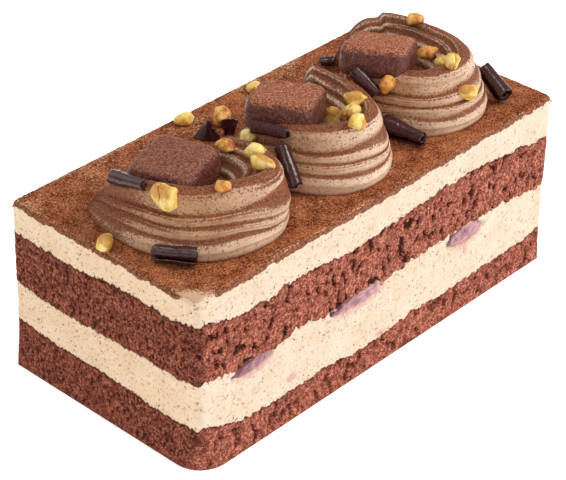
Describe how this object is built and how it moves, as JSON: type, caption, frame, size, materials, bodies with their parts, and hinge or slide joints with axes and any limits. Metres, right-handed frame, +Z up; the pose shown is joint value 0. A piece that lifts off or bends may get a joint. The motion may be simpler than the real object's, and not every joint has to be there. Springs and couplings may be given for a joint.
{
  "type": "layer cake",
  "caption": "Rectangular chocolate layer cake of sponge and cream with cocoa on top, piped swirls, chocolate squares, curls and chopped nuts.",
  "frame": {"origin": "middle of the flat base of the cake, on the surface it rests on", "axes": "+X along the length, +Z up; -Y is the long side where the fruit shows"},
  "size_m": [0.1604, 0.079, 0.0861],
  "materials": {
    "sponge": "matte open crumb of chocolate sponge",
    "cream": "soft pale cream",
    "swirl": "soft chocolate cream dusted with cocoa",
    "chocolate": "soft chocolate dusted with cocoa",
    "curl": "glossy dark chocolate",
    "nut": "toasted and glazed nut",
    "berry": "moist fruit"
  },
  "bodies": {
    "root": {"sponge_bottom": "sponge", "sponge_upper": "sponge", "cream_middle": "cream", "cream_top": "cream", "berry_1": "berry", "berry_2": "berry", "berry_3": "berry", "swirl_1": "swirl", "swirl_2": "swirl", "swirl_3": "swirl", "chocolate_block_1": "chocolate", "chocolate_block_2": "chocolate", "chocolate_block_3": "chocolate", "chocolate_curl_1": "curl", "chocolate_curl_2": "curl", "chocolate_curl_3": "curl", "chocolate_curl_4": "curl", "chocolate_curl_5": "curl", "chocolate_curl_6": "curl", "chocolate_curl_7": "curl", "chocolate_curl_8": "curl", "chocolate_flake_1": "curl", "chocolate_flake_2": "curl", "nut_1": "nut", "nut_2": "nut", "nut_3": "nut", "nut_4": "nut", "nut_5": "nut", "nut_6": "nut", "nut_7": "nut", "nut_8": "nut", "nut_9": "nut", "nut_10": "nut", "nut_11": "nut", "nut_12": "nut", "nut_13": "nut", "nut_14": "nut", "nut_15": "nut", "nut_16": "nut", "nut_17": "nut", "nut_18": "nut", "nut_19": "nut", "nut_20": "nut", "nut_21": "nut"}
  },
  "joints": []
}
